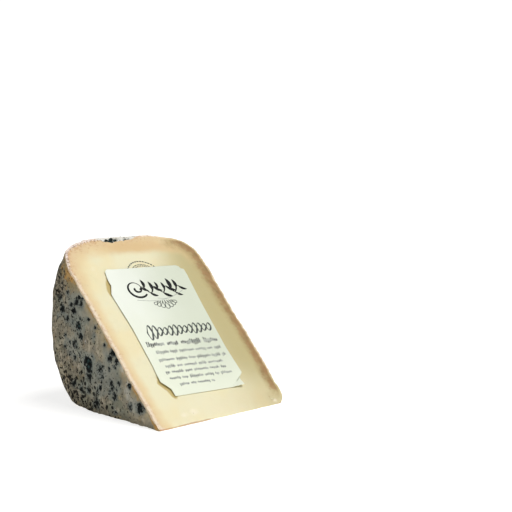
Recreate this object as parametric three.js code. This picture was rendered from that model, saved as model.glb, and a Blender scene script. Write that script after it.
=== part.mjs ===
// A wedge of blue cheese cut from a wheel, lying on one cut face, with a paper label on the other.
//
// Both knife cuts run through the tip edge, which lies along X. The wheel's two flat flanks face
// -X and +X, and its rim is at the back, towards +Y. Millimetres, +Z up, the origin at the middle
// of the footprint box, on the surface the wedge rests on.

import * as THREE from "three";
import { mergeGeometries, mergeVertices } from "three/addons/utils/BufferGeometryUtils.js";

// ---------------------------------------------------------------- driving dimensions

const HALF_WIDTH = 50; // middle of the wedge to a flank, measured 50 mm behind the tip edge
const FLANK_LEAN = 0.0385; // each flank stands this much further out for each mm further back
const CUT_ANGLE = THREE.MathUtils.degToRad(44.7); // between the two knife cuts

// The rim seen from the flank: a superellipse quarter on each side of its centre.
const RIM = { y: 44, z: 47.5, depth: 72.5, height: 71.5, power: 2.1 };
// The shoulder between flank and rim: a superellipse, round at the rim and flat on the flank.
const SHOULDER = { rimPower: 2.6, flankPower: 9.75 };

// The tip edge's two ends, rounded in plan: the left one was cut clean, the right one is worn.
const TIP_RADIUS = { left: 1.2, right: 5.5 };

// Uneven rind: low waves in every direction, and shallow dents spread over flanks and rim.
const WAVES = { count: 9, longest: 44, shortest: 12, height: 0.19 };
const DENTS = { count: 36, smallest: 5, largest: 9, depth: 0.7 };
const RIND_FADE = 14; // the rind is smooth at the tip edge and fully uneven this far from it

// Mesh density.
const PROFILE_STEPS = 44; // from the tip edge to the middle of the rim, along one flank
const TIP_STEPS = 4; // of them, round the end of the tip edge
const TURN_STEPS = 25; // from the lower cut to the upper cut
const FACE_COLUMNS = 12; // across a cut face

// The label, in the plane of the upper cut: x across, and the distance up the slope from the tip edge.
const LABEL = { thickness: 0.4, gap: 0.3 };
const LABEL_OUTLINE = [
  [-26.6, 19.2], [22.7, 16.9], // lower edge, trimmed a little askew
  [23.3, 22.3], [27.0, 25.6], // nick in the lower right corner
  [26.3, 45.0], [28.2, 80.0], [30.2, 102.0], // right edge
  [29.7, 106.6], [27.9, 107.3], [27.1, 109.6], [25.2, 110.7], // stepped upper right corner
  [-26.2, 111.2], [-27.4, 109.4], // upper edge and its worn corner
  [-28.0, 102.0], [-31.6, 93.0], // tear below the upper left corner
  [-30.4, 66.0], [-30.9, 28.8], [-26.4, 23.6], // left edge, with the lower corner torn off
];

const DEPTH = RIM.y + RIM.depth; // tip edge to the furthest point of the rim
const GOLDEN_SHARE = (Math.sqrt(5) - 1) / 2; // steps of this share of a range never repeat a place

const PASTE = { color: "#efe5bb", roughness: 0.55, metalness: 0 };
const PAPER = { color: "#f1f2e6", roughness: 0.75, metalness: 0 };

// ---------------------------------------------------------------- the wheel's form

// How far a point of the flank's plane is from the middle of the rim's section: 1 on the rim.
function rimShare(y, z) {
  const back = Math.max(0, y - RIM.y) / RIM.depth;
  const up = Math.abs(z - RIM.z) / RIM.height;
  return (back ** RIM.power + up ** RIM.power) ** (1 / RIM.power);
}

// Half the width of the wheel at a point of the flank's plane: flat, then round to nothing.
function halfWidth(y, z) {
  const share = Math.min(1, rimShare(y, z));
  const flank = HALF_WIDTH + FLANK_LEAN * (y - HALF_WIDTH);
  return flank * (1 - share ** SHOULDER.flankPower) ** (1 / SHOULDER.rimPower);
}

// Distance from the tip edge to the rim in the plane at this angle, found by halving.
function reachAt(angle) {
  let near = RIM.z;
  let far = 2 * DEPTH;
  for (let step = 0; step < 50; step += 1) {
    const middle = (near + far) / 2;
    if (rimShare(middle * Math.cos(angle), middle * Math.sin(angle)) < 1) near = middle;
    else far = middle;
  }
  return near;
}

// How far a rounded corner of this radius cuts in, at a distance from the edge it ends at.
function cornerInset(radius, distance) {
  if (distance >= radius) return 0;
  return radius - Math.sqrt(radius ** 2 - (radius - distance) ** 2);
}

// A flank's profile in the plane at one angle: share 0 is the tip edge and 1 the middle of the rim.
// Steps grow finer towards the rim, where the width falls away fastest.
function profilePoint(side, angle, reach, share) {
  const radius = reach * (1 - (1 - share) ** SHOULDER.rimPower);
  const tip = side < 0 ? TIP_RADIUS.left : TIP_RADIUS.right;
  const full = share < 1 ? halfWidth(radius * Math.cos(angle), radius * Math.sin(angle)) : 0;
  return new THREE.Vector2(side * (full - cornerInset(tip, radius)), radius);
}

// ---------------------------------------------------------------- the uneven rind

// Sum of plane waves: their lengths fall from longest to shortest, and their directions are
// spread over the sphere by golden steps. A longer wave is a higher one.
function waveHeight(point) {
  let height = 0;
  for (let i = 0; i < WAVES.count; i += 1) {
    const share = i / (WAVES.count - 1);
    const length = WAVES.longest * (WAVES.shortest / WAVES.longest) ** share;
    const rise = 1 - (2 * i + 1) / WAVES.count;
    const turn = 2 * Math.PI * GOLDEN_SHARE * i;
    const level = Math.sqrt(1 - rise ** 2);
    const direction = new THREE.Vector3(level * Math.cos(turn), level * Math.sin(turn), rise);
    const phase = (2 * Math.PI * direction.dot(point)) / length + turn;
    height += Math.sin(phase) * Math.sqrt(length / WAVES.longest);
  }
  return WAVES.height * height;
}

// Dents on the left flank, the right flank and the rim in turn, from near the tip edge outwards.
function spreadDents() {
  const dents = [];
  for (let i = 0; i < DENTS.count; i += 1) {
    const share = (i + 0.5) / DENTS.count;
    const angle = CUT_ANGLE * ((i * GOLDEN_SHARE) % 1);
    const reach = reachAt(angle);
    const side = (i % 3) - 1;
    const radius = side === 0 ? reach : reach * Math.sqrt(share);
    const place = inPlane(angle, new THREE.Vector2(0, radius));
    place.x = side === 0 ? HALF_WIDTH * (share - 0.5) : side * halfWidth(place.y, place.z);
    const size = THREE.MathUtils.lerp(DENTS.smallest, DENTS.largest, (i * GOLDEN_SHARE * 2) % 1);
    dents.push({ place, size });
  }
  return dents;
}

const SPREAD_DENTS = spreadDents();

// How far the rind stands out at a point: waves, less the dents, nothing at the tip edge.
function rindHeight(point) {
  let hollow = 0;
  for (const { place, size } of SPREAD_DENTS) {
    const away = Math.min(1, point.distanceTo(place) / size);
    hollow += DENTS.depth * (1 - away ** 2) ** 2;
  }
  const fade = THREE.MathUtils.smoothstep(Math.hypot(point.y, point.z), 0, RIND_FADE);
  return fade * (waveHeight(point) - hollow);
}

// ---------------------------------------------------------------- the wedge's surfaces

// A point of the plane at this angle, given as x across and the distance from the tip edge.
function inPlane(angle, flat) {
  return new THREE.Vector3(flat.x, flat.y * Math.cos(angle), flat.y * Math.sin(angle));
}

// Shares of the profile, one for each row: a few round the tip, the rest equal steps of length.
function profileShares() {
  const angle = CUT_ANGLE / 2;
  const reach = reachAt(angle);
  const samples = 2000;
  const lengths = [0];
  let last = profilePoint(1, angle, reach, 0);
  for (let i = 1; i <= samples; i += 1) {
    const next = profilePoint(1, angle, reach, i / samples);
    lengths.push(lengths[i - 1] + next.distanceTo(last));
    last = next;
  }
  const shareAt = (length) => lengths.findIndex((reached) => reached >= length) / samples;
  const corner = (TIP_RADIUS.right * Math.PI) / 2;
  const shares = [];
  for (let i = 0; i < PROFILE_STEPS; i += 1) {
    const rest = (i - TIP_STEPS) / (PROFILE_STEPS - TIP_STEPS);
    const length = i < TIP_STEPS ? (corner * i) / TIP_STEPS : corner + (lengths[samples] - corner) * rest;
    shares.push(shareAt(length));
  }
  return [...shares, 1];
}

// One flank's profile at an angle, from tip to rim, each point moved out square to the profile by
// the height of the uneven rind there.
function unevenProfile(side, angle, shares) {
  const reach = reachAt(angle);
  const even = shares.map((share) => profilePoint(side, angle, reach, share));
  const rim = shares.length - 1;
  return even.map((point, row) => {
    const along = even[Math.min(rim, row + 1)].clone().sub(even[Math.max(0, row - 1)]);
    const outwards = new THREE.Vector2(side * along.y, -side * along.x).normalize();
    if (row === rim) outwards.set(0, 1);
    return point.clone().addScaledVector(outwards, rindHeight(inPlane(angle, point)));
  });
}

// A grid of points as a surface: rows[i][j], two triangles a cell, turned over if asked.
function gridSurface(rows, turnedOver) {
  const columns = rows[0].length;
  const positions = rows.flat().flatMap((point) => point.toArray());
  const index = [];
  for (let i = 0; i < rows.length - 1; i += 1) {
    for (let j = 0; j < columns - 1; j += 1) {
      const a = i * columns + j;
      const b = a + 1;
      const c = a + columns;
      const d = c + 1;
      if (turnedOver) index.push(a, b, c, b, d, c);
      else index.push(a, c, b, b, c, d);
    }
  }
  const surface = new THREE.BufferGeometry();
  surface.setAttribute("position", new THREE.Float32BufferAttribute(positions, 3));
  return surface.setIndex(index);
}

// One flank with its half of the rim, from the lower cut to the upper one.
function rindSurface(side, shares) {
  const rows = [];
  for (let i = 0; i <= TURN_STEPS; i += 1) {
    const angle = (CUT_ANGLE * i) / TURN_STEPS;
    rows.push(unevenProfile(side, angle, shares).map((flat) => inPlane(angle, flat)));
  }
  return gridSurface(rows, side > 0);
}

// A cut face: flat, its rows drawn straight across from one flank's profile to the other's.
function cutSurface(angle, shares, turnedOver) {
  const left = unevenProfile(-1, angle, shares);
  const right = unevenProfile(1, angle, shares);
  const rows = left.map((start, row) => {
    const points = [];
    for (let j = 0; j <= FACE_COLUMNS; j += 1) {
      points.push(inPlane(angle, start.clone().lerp(right[row], j / FACE_COLUMNS)));
    }
    return points;
  });
  return gridSurface(rows, turnedOver);
}

// Joins surfaces into one closed body, without the triangles that shrink to a line at a pole.
function closedBody(surfaces) {
  const body = mergeVertices(mergeGeometries(surfaces), 1e-4);
  const corners = body.index.array;
  const kept = [];
  for (let i = 0; i < corners.length; i += 3) {
    const [a, b, c] = corners.slice(i, i + 3);
    if (a !== b && b !== c && c !== a) kept.push(a, b, c);
  }
  body.setIndex(kept);
  body.computeVertexNormals();
  return body;
}

// ---------------------------------------------------------------- the two pieces

function cheeseWedge() {
  const shares = profileShares();
  const body = closedBody([
    rindSurface(-1, shares),
    rindSurface(1, shares),
    cutSurface(0, shares, false),
    cutSurface(CUT_ANGLE, shares, true),
  ]);
  const wedge = new THREE.Mesh(body, new THREE.MeshStandardMaterial(PASTE));
  wedge.name = "cheese_wedge";
  return wedge;
}

// A flat sheet laid on the upper cut: drawn in X and Y, then tipped up about the tip edge.
function paperLabel() {
  const outline = new THREE.Shape(LABEL_OUTLINE.map(([x, up]) => new THREE.Vector2(x, up)));
  const sheet = new THREE.ExtrudeGeometry(outline, { depth: LABEL.thickness, bevelEnabled: false });
  sheet.translate(0, 0, LABEL.gap);
  const label = new THREE.Mesh(sheet, new THREE.MeshStandardMaterial(PAPER));
  label.rotation.x = CUT_ANGLE;
  label.name = "paper_label";
  return label;
}

const wedgeWithLabel = new THREE.Group();
wedgeWithLabel.position.y = -DEPTH / 2;
wedgeWithLabel.add(cheeseWedge(), paperLabel());

const part = new THREE.Group();
part.add(wedgeWithLabel);

export default part;
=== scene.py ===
"""A wedge of blue cheese with a paper label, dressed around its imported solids.

Lengths are millimetres measured from the middle of the tip edge, where the two knife cuts meet:
x across the wheel, y back along the table and z up. They become metres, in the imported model's
frame, when a mesh is made. A flat place on a cut is given as across, and up the slope. A noise
is given as its height, size, layers and seed.
"""
import logging
import math
from collections.abc import Callable
from dataclasses import dataclass, field
from enum import Enum

import bmesh
import bpy
import numpy as np
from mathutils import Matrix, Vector


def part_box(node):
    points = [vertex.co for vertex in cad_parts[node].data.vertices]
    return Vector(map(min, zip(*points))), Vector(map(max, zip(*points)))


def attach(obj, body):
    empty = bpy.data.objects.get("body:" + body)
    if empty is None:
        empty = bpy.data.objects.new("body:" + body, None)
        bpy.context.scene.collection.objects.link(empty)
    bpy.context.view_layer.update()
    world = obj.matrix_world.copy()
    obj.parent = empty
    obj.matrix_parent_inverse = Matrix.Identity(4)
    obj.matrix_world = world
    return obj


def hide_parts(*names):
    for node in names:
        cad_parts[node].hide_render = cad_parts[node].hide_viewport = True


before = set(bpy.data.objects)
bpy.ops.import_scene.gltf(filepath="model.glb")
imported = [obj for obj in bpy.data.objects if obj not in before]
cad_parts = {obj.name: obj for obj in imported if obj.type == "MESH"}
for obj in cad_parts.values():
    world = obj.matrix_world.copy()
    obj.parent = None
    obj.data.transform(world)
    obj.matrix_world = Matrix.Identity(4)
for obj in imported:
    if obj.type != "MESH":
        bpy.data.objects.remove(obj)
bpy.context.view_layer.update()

LOG = logging.getLogger("cheese_wedge")
Array = np.ndarray
Table = tuple[tuple[float, ...], ...]
Material = bpy.types.Material
Socket = bpy.types.NodeSocket
Inputs = dict[int | str, object] | None

MM = 0.001
TIP_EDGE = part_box("cheese_wedge")[0].y / MM  # how far behind the frame's origin the tip edge lies
GOLDEN_SHARE = (math.sqrt(5) - 1) / 2  # steps of this share of a range never repeat a place
HASH_FACTORS = np.array([374761393, 668265263, 2246822519], np.uint64)  # large primes
HASH_ROUNDS = ((15, 2246822519), (13, 3266489917))  # in each a shift, and another large prime
SAME_PLACE = 1e-4  # mm within which two points are one
SHARP_ANGLE = math.radians(48)  # edges that bend more than this stay sharp
INK_PROUD = 0.04  # mm that print stands over its paper, so that it shows
INK_SUNK = 0.03  # mm that it reaches into the paper
PLACE_SEED, SIZE_SEED, CHANCE_SEED = 60, 70, 80  # random values of the random mould colonies
CUT_ANGLE = math.radians(44.7)  # between the two knife cuts


# ---------------------------------------------------------------- numbers


def smooth_step(start: float | Array, end: float | Array, value: Array) -> Array:
    """Rises from 0 at start to 1 at end along the cubic 3t^2 - 2t^3.

    Args:
        start, end: where the step begins and where it is complete, in either order.
        value: the values to look up.

    Returns:
        Shares from 0 to 1.
    """
    share = np.clip((value - start) / (end - start), 0, 1)
    return share * share * (3 - 2 * share)


def cone(distance: Array, size: float) -> Array:
    """1 in the middle, falling evenly to 0 at this size: max(0, 1 - distance/size)."""
    return np.maximum(0, 1 - distance / size)


def hill(distance: Array, size: float) -> Array:
    """1 in the middle, falling away softly: exp(-(distance/size)^2)."""
    return np.exp(-((distance / size) ** 2))


def clustered(count: int, evenness: float = 0.2) -> Array:
    """Shares from 0 to 1 that lie closer together at both ends: t less a sine of one turn.

    Args:
        count: how many.
        evenness: spacing at the ends, as a share of the mean spacing.

    Returns:
        The shares, in order.
    """
    even = np.linspace(0, 1, count)
    return even - (1 - evenness) * np.sin(2 * np.pi * even) / (2 * np.pi)


def lattice_hash(corner: Array, seed: int) -> Array:
    """Mixes the three whole numbers of each lattice corner into one value.

    Args:
        corner: whole numbers, shaped (..., 3).
        seed: which set of values.

    Returns:
        Values from 0 to 1.
    """
    mask = np.uint64(0xFFFFFFFF)
    whole = corner.astype(np.int64).astype(np.uint64)
    mixed = ((whole * HASH_FACTORS).sum(axis=-1) + np.uint64(seed * 97 + 13)) & mask
    for shift, factor in HASH_ROUNDS:
        mixed = ((mixed ^ (mixed >> np.uint64(shift))) * np.uint64(factor)) & mask
    return (mixed ^ (mixed >> np.uint64(16))) / float(mask)


@dataclass(frozen=True)
class Noise:
    """Smooth noise: layers of random values at the corners of cubes, blended in between.

    Each layer has half the size and half the height of the one before.

    Attributes:
        height: how far it strays to either side of 0.
        size: cube edge of the coarsest layer.
        layers: how many there are.
        seed: which noise it is.
    """

    height: float
    size: float
    layers: int
    seed: int

    def at(self, points: Array) -> Array:
        """The noise at places.

        Args:
            points: places, shaped (..., 3).

        Returns:
            Values, one for each place.
        """
        total = 0
        for i in range(self.layers):
            scaled = points / (self.size / 2**i)
            corner = np.floor(scaled)
            share = smooth_step(0, 1, scaled - corner)
            layer = np.zeros(points.shape[:-1])
            for step in np.ndindex(2, 2, 2):
                weight = np.prod(np.where(step, share, 1 - share), axis=-1)
                layer += weight * lattice_hash(corner + step, self.seed + i)
            total = total + (2 * layer - 1) / 2**i
        return self.height * (total / (2 - 2 ** (1 - self.layers)))

    def move(self, points: Array, share: float | Array = 1.0) -> Array:
        """Places moved by this share of three such noises, one for each direction."""
        parts = [Noise(1, self.size, self.layers, self.seed + 10 * i).at(points) for i in range(3)]
        return points + self.height * share * np.stack(parts, axis=-1)


def in_space(flat: Array, angle: float | Array = CUT_ANGLE, height: float | Array = 0.0) -> Array:
    """Turns flat places or directions in planes through the tip edge into ones in space.

    Args:
        flat: across, and out from the tip edge, shaped (..., 2).
        angle: of each plane above the lower cut.
        height: square to the plane.

    Returns:
        Places or directions, shaped (..., 3).
    """
    across, out = flat[..., 0], flat[..., 1]
    back = out * np.cos(angle) - height * np.sin(angle)
    up = out * np.sin(angle) + height * np.cos(angle)
    return np.stack(np.broadcast_arrays(across, back, up), axis=-1)


# ---------------------------------------------------------------- meshes


def revolve(radius: Array, height: Array | float, columns: int) -> Array:
    """A surface of revolution round the vertical: radius times cosine and sine of a turn, and height.

    Args:
        radius, height: of each row, shaped (rows, 1).
        columns: points in each row, the last of them on the first.

    Returns:
        Places, shaped (rows, columns, 3).
    """
    turn = np.linspace(0, 2 * np.pi, columns)
    grid = np.stack(np.broadcast_arrays(radius * np.cos(turn), radius * np.sin(turn), height), axis=-1)
    grid[:, -1] = grid[:, 0]
    return grid


@dataclass
class Skin:
    """A mesh put together from grids of points.

    Attributes:
        points, faces, slots: places, point numbers and material slots, an array for each grid.
        count: how many points there are so far.
    """

    points: list[Array] = field(default_factory=list)
    faces: list[Array] = field(default_factory=list)
    slots: list[Array] = field(default_factory=list)
    count: int = 0

    def add_grid(self, grid: Array, slot: int | Array = 0, flip: bool = False) -> None:
        """Adds the quads between the points of a grid.

        Args:
            grid: places, shaped (rows, columns, 3), with the columns to the right of the rows.
            slot: the material slot, or 0 or 1 for each point: a face takes what most corners have.
            flip: turns the faces over.
        """
        rows, columns = grid.shape[:2]
        first = np.arange(rows - 1)[:, None] * columns + np.arange(columns - 1)
        quads = np.stack([first, first + 1, first + columns + 1, first + columns], axis=-1).reshape(-1, 4)
        corner_slots = (np.zeros(rows * columns) + np.ravel(slot))[quads]
        self.slots.append(np.ceil(corner_slots.mean(axis=1) - 0.5))
        self.faces.append(self.count + (quads[:, ::-1] if flip else quads))
        self.points.append(grid.reshape(-1, 3))
        self.count += rows * columns

    def add_shell(self, top: Array, bottom: Array, slot: int = 0) -> None:
        """Adds a grid and a second one right beneath it, closed by four narrow sides.

        Args:
            top, bottom: places, shaped (rows, columns, 3).
            slot: the material slot.
        """
        ends = [np.stack([bottom[0], top[0]]), np.stack([top[-1], bottom[-1]])]
        sides = [np.stack([top[:, 0], bottom[:, 0]]), np.stack([bottom[:, -1], top[:, -1]])]
        for grid in (top, bottom[:, ::-1], *ends, *sides):
            self.add_grid(grid, slot)

    def build(
        self, name: str, materials: list[Material], fields: dict[str, Array] | None = None
    ) -> bpy.types.Object:
        """Makes the mesh object, its doubled points merged, smooth but for its sharp edges.

        Args:
            name: the object's name.
            materials: its material slots.
            fields: named values for each point, for the materials to read.

        Returns:
            The object, with its place in its mesh.
        """
        mesh = bpy.data.meshes.new(name)
        places = (np.concatenate(self.points) + [0, TIP_EDGE, 0]) * MM
        mesh.from_pydata(places.tolist(), [], np.concatenate(self.faces).tolist())
        for material in materials:
            mesh.materials.append(material)
        mesh.polygons.foreach_set("material_index", np.concatenate(self.slots).astype(np.int32))
        mesh.polygons.foreach_set("use_smooth", np.ones(len(mesh.polygons), bool))
        for label, values in (fields or {}).items():
            mesh.attributes.new(label, "FLOAT", "POINT").data.foreach_set("value", values.astype(np.float32))
        shell = bmesh.new()
        shell.from_mesh(mesh)
        bmesh.ops.remove_doubles(shell, verts=shell.verts, dist=SAME_PLACE * MM)
        for edge in shell.edges:
            edge.smooth = edge.calc_face_angle(0) < SHARP_ANGLE
        shell.to_mesh(mesh)
        shell.free()
        piece = bpy.data.objects.new(name, mesh)
        bpy.context.scene.collection.objects.link(piece)
        LOG.info("%s: %d faces", name, len(mesh.polygons))
        return piece


def dress(piece: bpy.types.Object, node: str = "") -> None:
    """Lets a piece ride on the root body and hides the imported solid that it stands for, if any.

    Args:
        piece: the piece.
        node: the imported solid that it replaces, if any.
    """
    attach(piece, "root")
    if node:
        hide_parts(node)


# ---------------------------------------------------------------- how materials are built


def srgb(code: str) -> tuple[float, float, float, float]:
    """Turns a hex colour as seen on a screen into linear light.

    Args:
        code: "#rrggbb".

    Returns:
        Red, green, blue and an alpha of 1.
    """
    shares = [int(code[i : i + 2], 16) / 255 for i in (1, 3, 5)]
    linear = [c / 12.92 if c <= 0.04045 else ((c + 0.055) / 1.055) ** 2.4 for c in shares]
    return (*linear, 1.0)


class Pattern(Enum):
    """How noise decides where a layer of colour shows."""

    CLOUDS = "soft patches, or ragged edges on a value stored on the mesh"
    SPOTS = "one spot in each cell, large or small by chance and by a stored value"


@dataclass(frozen=True)
class Layer:
    """One colour laid over those before it, where its pattern runs from start to full.

    Attributes:
        colour: hex colour.
        field: the stored value that it follows, if any.
        size: mm from one patch or spot to the next.
        start, full: pattern values where it begins to show and where it is strongest.
        strength: how much it covers there.
        detail: octaves of noise.
        shift: mm by which the pattern is moved, so that no two coincide.
        ragged: how strongly noise breaks up the stored value, or bends a spot's edge.
        pattern: how noise decides where it shows.
    """

    colour: str
    field: str
    size: float
    start: float
    full: float
    strength: float = 1.0
    detail: float = 3.0
    shift: float = 0.0
    ragged: float = 1.0
    pattern: Pattern = Pattern.CLOUDS


class Nodes:
    """The node tree of a material or a world, built node by node."""

    def __init__(self, owner: Material | bpy.types.World) -> None:
        """Empties the tree.

        Args:
            owner: the material or world.
        """
        owner.use_nodes = True
        self.owner, self.tree = owner, owner.node_tree
        self.tree.nodes.clear()

    def add(self, kind: str, inputs: Inputs = None, output: int | str = 0, **settings: object) -> Socket:
        """Adds one node with its settings, its values and its links.

        Args:
            kind: its type, without "ShaderNode".
            inputs: an input's name or number, and the value or output that goes in.
            output: name or number of the output that is wanted.
            settings: the node's own properties.

        Returns:
            That output, or nothing where the node has none.
        """
        node = self.tree.nodes.new("ShaderNode" + kind)
        for name, value in settings.items():
            setattr(node, name, value)
        for key, value in (inputs or {}).items():
            if isinstance(value, bpy.types.NodeSocket):
                self.tree.links.new(value, node.inputs[key])
            else:
                node.inputs[key].default_value = value
        return node.outputs[output] if node.outputs else None


class Recipe(Nodes):
    """A material whose patterns are laid out in millimetres from the tip edge."""

    def __init__(self, name: str) -> None:
        """Starts the material and finds the place in millimetres.

        Args:
            name: the material's name.
        """
        super().__init__(bpy.data.materials.new(name))
        inputs = {"Vector": self.add("TexCoord", output="Object"), "Location": (0, -TIP_EDGE, 0)}
        self.place = self.add("Mapping", inputs | {"Scale": (1 / MM,) * 3})

    def mask(self, layer: Layer) -> Socket:
        """Builds the mask of one layer.

        Clouds follow the noise, or the stored value plus (noise - 0.5) * ragged. A spot's radius is
        0.45 of its cell times chance and the stored value.

        Args:
            layer: the layer.

        Returns:
            The mask, from 0 to the layer's strength.
        """
        moved = self.add("VectorMath", {0: self.place, 1: (layer.shift,) * 3}, operation="ADD")
        inputs = {"Vector": moved, "Scale": 1 / layer.size, "Detail": layer.detail, "Roughness": 0.62}
        value = noise = self.add("TexNoise", inputs)
        if layer.field:
            stored = self.add("Attribute", output="Fac", attribute_name=layer.field)
        if layer.pattern is Pattern.SPOTS:
            bend = (0.9 * layer.size * layer.ragged,) * 3
            inputs = {0: noise.node.outputs[1], 1: bend, 2: moved}
            bent = self.add("VectorMath", inputs, operation="MULTIPLY_ADD")
            distance = self.add("TexVoronoi", {"Vector": bent, "Scale": 1 / layer.size})
            chance = self.add("SeparateColor", {0: distance.node.outputs["Color"]})
            radius = self.add("Math", {0: chance, 1: 0.45}, operation="MULTIPLY")
            radius = self.add("Math", {0: radius, 1: stored}, operation="MULTIPLY")
            value = self.add("Math", {0: radius, 1: distance}, operation="SUBTRACT")
        elif layer.field:
            offset = self.add("Math", {0: noise, 1: 0.5}, operation="SUBTRACT")
            value = self.add("Math", {0: offset, 1: layer.ragged, 2: stored}, operation="MULTIPLY_ADD")
        inputs = {0: value, 1: layer.start, 2: layer.full, 3: 0.0, 4: layer.strength}
        return self.add("MapRange", inputs, interpolation_type="SMOOTHSTEP")

    def lay(self, base: str, layers: tuple[Layer, ...]) -> tuple[Socket, list[Socket]]:
        """Lays colours over a base one after another.

        Args:
            base: hex colour beneath them.
            layers: the layers, lowest first.

        Returns:
            The colour and the layers' masks.
        """
        colour, masks = srgb(base), []
        for layer in layers:
            masks.append(self.mask(layer))
            inputs = {0: masks[-1], 6: colour, 7: srgb(layer.colour)}
            colour = self.add("Mix", inputs, 2, data_type="RGBA")
        return colour, masks

    def finish(self, colour: Socket, **surface: object) -> Material:
        """Ends the material with one principled surface.

        Args:
            colour: base colour.
            surface: the other inputs, with underscores for spaces.

        Returns:
            The material.
        """
        inputs = {"Base Color": colour} | {key.replace("_", " "): value for key, value in surface.items()}
        self.add("OutputMaterial", {"Surface": self.add("BsdfPrincipled", inputs)})
        return self.owner


# ---------------------------------------------------------------- finishes


@dataclass(frozen=True)
class PasteFinish:
    """Soft blue-cheese paste, cut with a wet knife: pale cream, satin, some light passing into it.

    It darkens to tan as it nears the rind and ends in a thin pinkish lip, the rind seen edge-on,
    brightened by a painted highlight. On the right, painted shade makes it duller and deepens the
    paste's own browning beside the rind. Fine drag lines from the knife run up the cut.

    Attributes:
        cream: colour of the ripe middle.
        layers: the colours laid over it, lowest first.
    """

    cream: str = "#ebe4c0"
    layers: tuple[Layer, ...] = (
        # colour, field, size, start, full, strength, detail, shift, ragged
        Layer("#ede0b3", "", 34, 0.42, 0.66, 1, 2),
        Layer("#f6efd6", "", 9, 0.6, 0.78, 0.35, 3, 40),
        # painted shade: the right of the cut duller and olive, where less light reaches it
        Layer("#c0b380", "painted_right_shade", 25, 0, 1, 1, 2, 8, 0.12),
        Layer("#e6cf9f", "tan", 9, 0, 0.6, 1, 5, 0, 0.45),
        Layer("#dab88f", "tan", 6, 0.4, 1, 0.8, 5, 33, 0.7),
        Layer("#dcbc89", "amber", 8, 0, 1, 0.9, 4, 14, 0.4),
        # the lip: the rind's paler edge, brightened further by a painted highlight
        Layer("#ecdac1", "lip", 1.3, 0, 0.55, 0.95, 5, 0, 0.9),
        # the paste's own browning beside the rind on the right, deepened by painted shade
        Layer("#a58a54", "brown", 8, 0, 1.1, 0.9, 5, 3, 0.9),
        Layer("#8a6c3e", "brown", 4, 0.55, 1.2, 0.9, 6, 29, 1.5),
        Layer("#a77e50", "brown", 4.5, 0.5, 1.1, 0.6, 5, 66, 3),
        Layer("#c08f5c", "tan", 1.7, 0.75, 1.1, 0.5, 4, 77, 2),
        # painted shadow, golden, cast on the cheese by the label's lifted left edge
        Layer("#c0a862", "label_shadow", 3, 0.1, 0.65, 0.9, 4, 21, 0.4),
        # painted sheen: pale spots near the foot of the cut, where the wet paste glistens
        Layer("#f8f0d8", "painted_sheen", 4, 0, 0.7, 0.6, 4, 52, 0.9),
        Layer("#9a7a66", "crust", 1.3, 0.3, 0.6, 0.8, 5, 9, 2.8),
        Layer("#f4e4d8", "crust", 1.1, 0.4, 0.7, 0.9, 5, 71, 2.6),
        Layer("#b0713c", "tip_line", 2.5, 0.4, 0.8, 0.6, 4, 60, 1.4),
    )

    def material(self) -> Material:
        """Builds the material, with drag lines 1.5 mm apart that are ten times as long up the cut.

        Returns:
            The material.
        """
        recipe = Recipe("Blue cheese paste, knife-cut")
        colour, _ = recipe.lay(self.cream, self.layers)
        stretched = recipe.add("Mapping", {"Vector": recipe.place, "Scale": (1.0, 0.1, 0.1)})
        drag = recipe.add("TexNoise", {"Vector": stretched, "Scale": 1 / 1.5, "Detail": 3.0})
        grain = recipe.add("TexNoise", {"Vector": recipe.place, "Scale": 1 / 0.9, "Detail": 4.0})
        height = recipe.add("Math", {0: drag, 1: 0.5, 2: grain}, operation="MULTIPLY_ADD")
        return recipe.finish(
            colour,
            Roughness=recipe.add("MapRange", {0: grain, 1: 0.3, 2: 0.7, 3: 0.42, 4: 0.56}),
            IOR=1.44,
            Specular_IOR_Level=0.25,
            Normal=recipe.add("Bump", {"Strength": 0.35, "Distance": 0.12 * MM, "Height": height}),
            Subsurface_Weight=0.12,
            Subsurface_Radius=(1.0, 0.7, 0.35),
            Subsurface_Scale=2.5 * MM,
        )


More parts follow.
